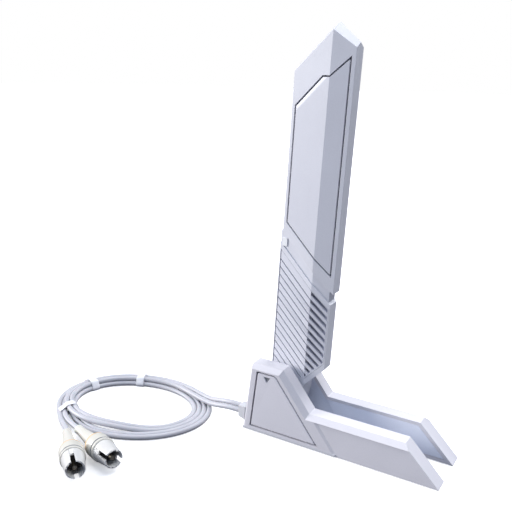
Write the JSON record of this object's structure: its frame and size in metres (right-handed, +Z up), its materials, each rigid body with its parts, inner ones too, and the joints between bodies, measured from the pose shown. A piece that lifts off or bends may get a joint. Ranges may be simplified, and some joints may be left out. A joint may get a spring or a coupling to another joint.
{
  "type": "desktop tv antenna",
  "caption": "Faceted flat blade antenna that folds down between the arms of a forked desk stand, with a tied coil of twin coax lead ending in two push-on plugs.",
  "frame": {"origin": "middle of the stand's footprint, on the surface it stands on", "axes": "+Z up; +X from the hinge towards the tips of the stand's arms; +Y across the stand"},
  "size_m": [0.2311, 0.1332, 0.2248],
  "materials": {
    "white_plastic": "fine satin moulding",
    "panel_plastic": "smooth satin",
    "rib_plastic": "satin, ribbed",
    "base_plastic": "matt",
    "steel": "plain",
    "rubber": "matt",
    "washer_plastic": "smooth",
    "board": "coated circuit board",
    "foam": "foam pad",
    "inner_lead": "smooth",
    "cable": "soft PVC",
    "gland": "soft PVC",
    "tape": "clear-white tape",
    "boot": "soft moulding",
    "collar": "satin ivory",
    "plug_sleeve": "satin",
    "insulator": "matt",
    "plug_pin": "plated"
  },
  "bodies": {
    "stand": {"near_side_shell": "white_plastic", "far_side_shell": "white_plastic", "near_inner_wall": "white_plastic", "far_inner_wall": "white_plastic", "near_cheek_cover": "panel_plastic", "far_cheek_cover": "panel_plastic", "near_ballast": "steel", "far_ballast": "steel", "rear_bridge": "white_plastic", "bottom_plate": "base_plastic", "bottom_screws": "steel", "rubber_feet": "rubber", "hinge_tube": "steel", "hinge_nut": "steel", "spring_washer": "steel", "friction_washers": "washer_plastic", "base_lead_a": "inner_lead", "base_lead_b": "inner_lead", "cable_gland": "gland", "cable_coil": "cable", "coil_bands": "tape", "lead_tube_a": "cable", "lead_tube_b": "cable", "tail_tube_a": "cable", "tail_tube_b": "cable", "plug_a_boot": "boot", "plug_a_collar": "collar", "plug_a_sleeve": "plug_sleeve", "plug_a_insulator": "insulator", "plug_a_pin": "plug_pin", "plug_b_boot": "boot", "plug_b_collar": "collar", "plug_b_sleeve": "plug_sleeve", "plug_b_insulator": "insulator", "plug_b_pin": "plug_pin"},
    "blade": {"hinge_bush": "washer_plastic", "upper_near_shell": "white_plastic", "upper_far_shell": "white_plastic", "near_panel": "panel_plastic", "far_panel": "panel_plastic", "lower_near_shell": "white_plastic", "lower_far_shell": "white_plastic", "near_rib_insert": "rib_plastic", "far_rib_insert": "rib_plastic", "upper_antenna_board": "board", "lower_antenna_board": "board", "board_pads": "foam", "shell_pins": "steel", "blade_lead_a": "inner_lead", "blade_lead_b": "inner_lead"}
  },
  "joints": [
    {"name": "blade_fold", "type": "hinge", "parent": "stand", "child": "blade", "pos_m": [-0.0375, 0, 0.0245], "axis": [0, 1, 0], "range_deg": [-8, 87.7]}
  ]
}
